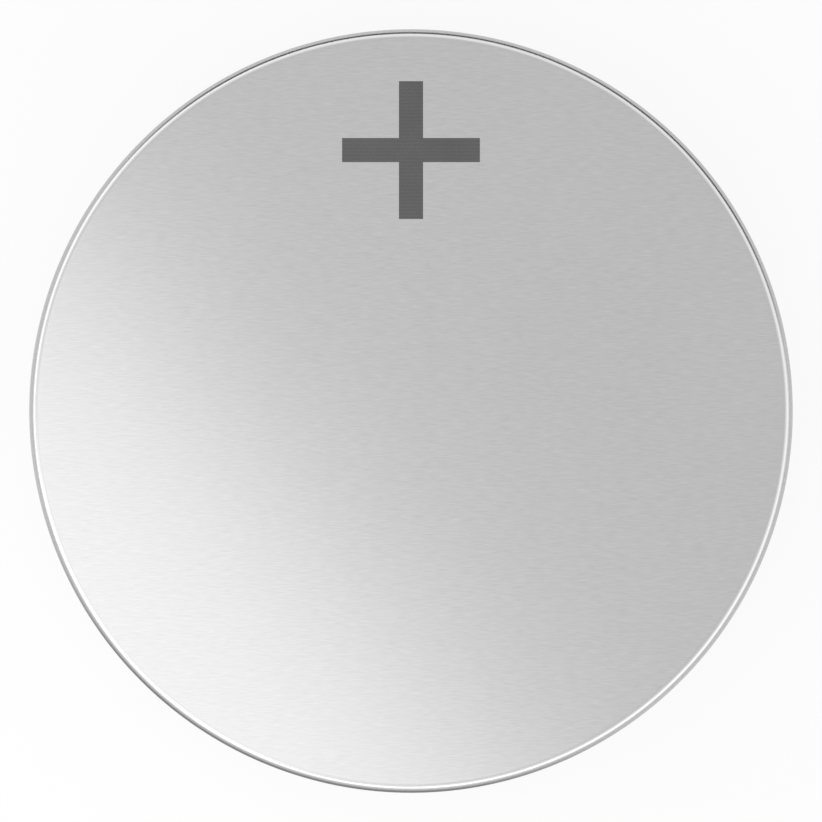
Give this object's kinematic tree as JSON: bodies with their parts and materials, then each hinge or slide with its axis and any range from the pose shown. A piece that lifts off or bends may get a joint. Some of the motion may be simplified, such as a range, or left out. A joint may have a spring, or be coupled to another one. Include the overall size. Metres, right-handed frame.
{
  "type": "lithium coin cell",
  "caption": "Flat round lithium primary cell: a steel can crimped over a gasket and a stepped cap, with its electrodes and separator inside.",
  "frame": {"origin": "centre of the flat of the negative cap, which the cell lies on", "axes": "+Z along the cell's axis from the negative face to the positive face; the polarity mark on the positive face lies towards +Y"},
  "size_m": [0.02, 0.02, 0.0032],
  "materials": {
    "can_steel": "satin stainless steel with a fine rolling grain",
    "gasket_plastic": "milky moulded polypropylene",
    "cap_steel": "satin stainless steel with a fine pressed grain",
    "collector_mesh": "bare stainless mesh",
    "cathode_powder": "matt black pressed manganese dioxide powder",
    "separator_felt": "white non-woven polypropylene felt",
    "lithium_foil": "soft dull silver foil"
  },
  "bodies": {
    "root": {"positive_can": "can_steel", "gasket": "gasket_plastic", "negative_cap": "cap_steel", "current_collector": "collector_mesh", "cathode_pellet": "cathode_powder", "separator": "separator_felt", "lithium_anode": "lithium_foil"}
  },
  "joints": []
}
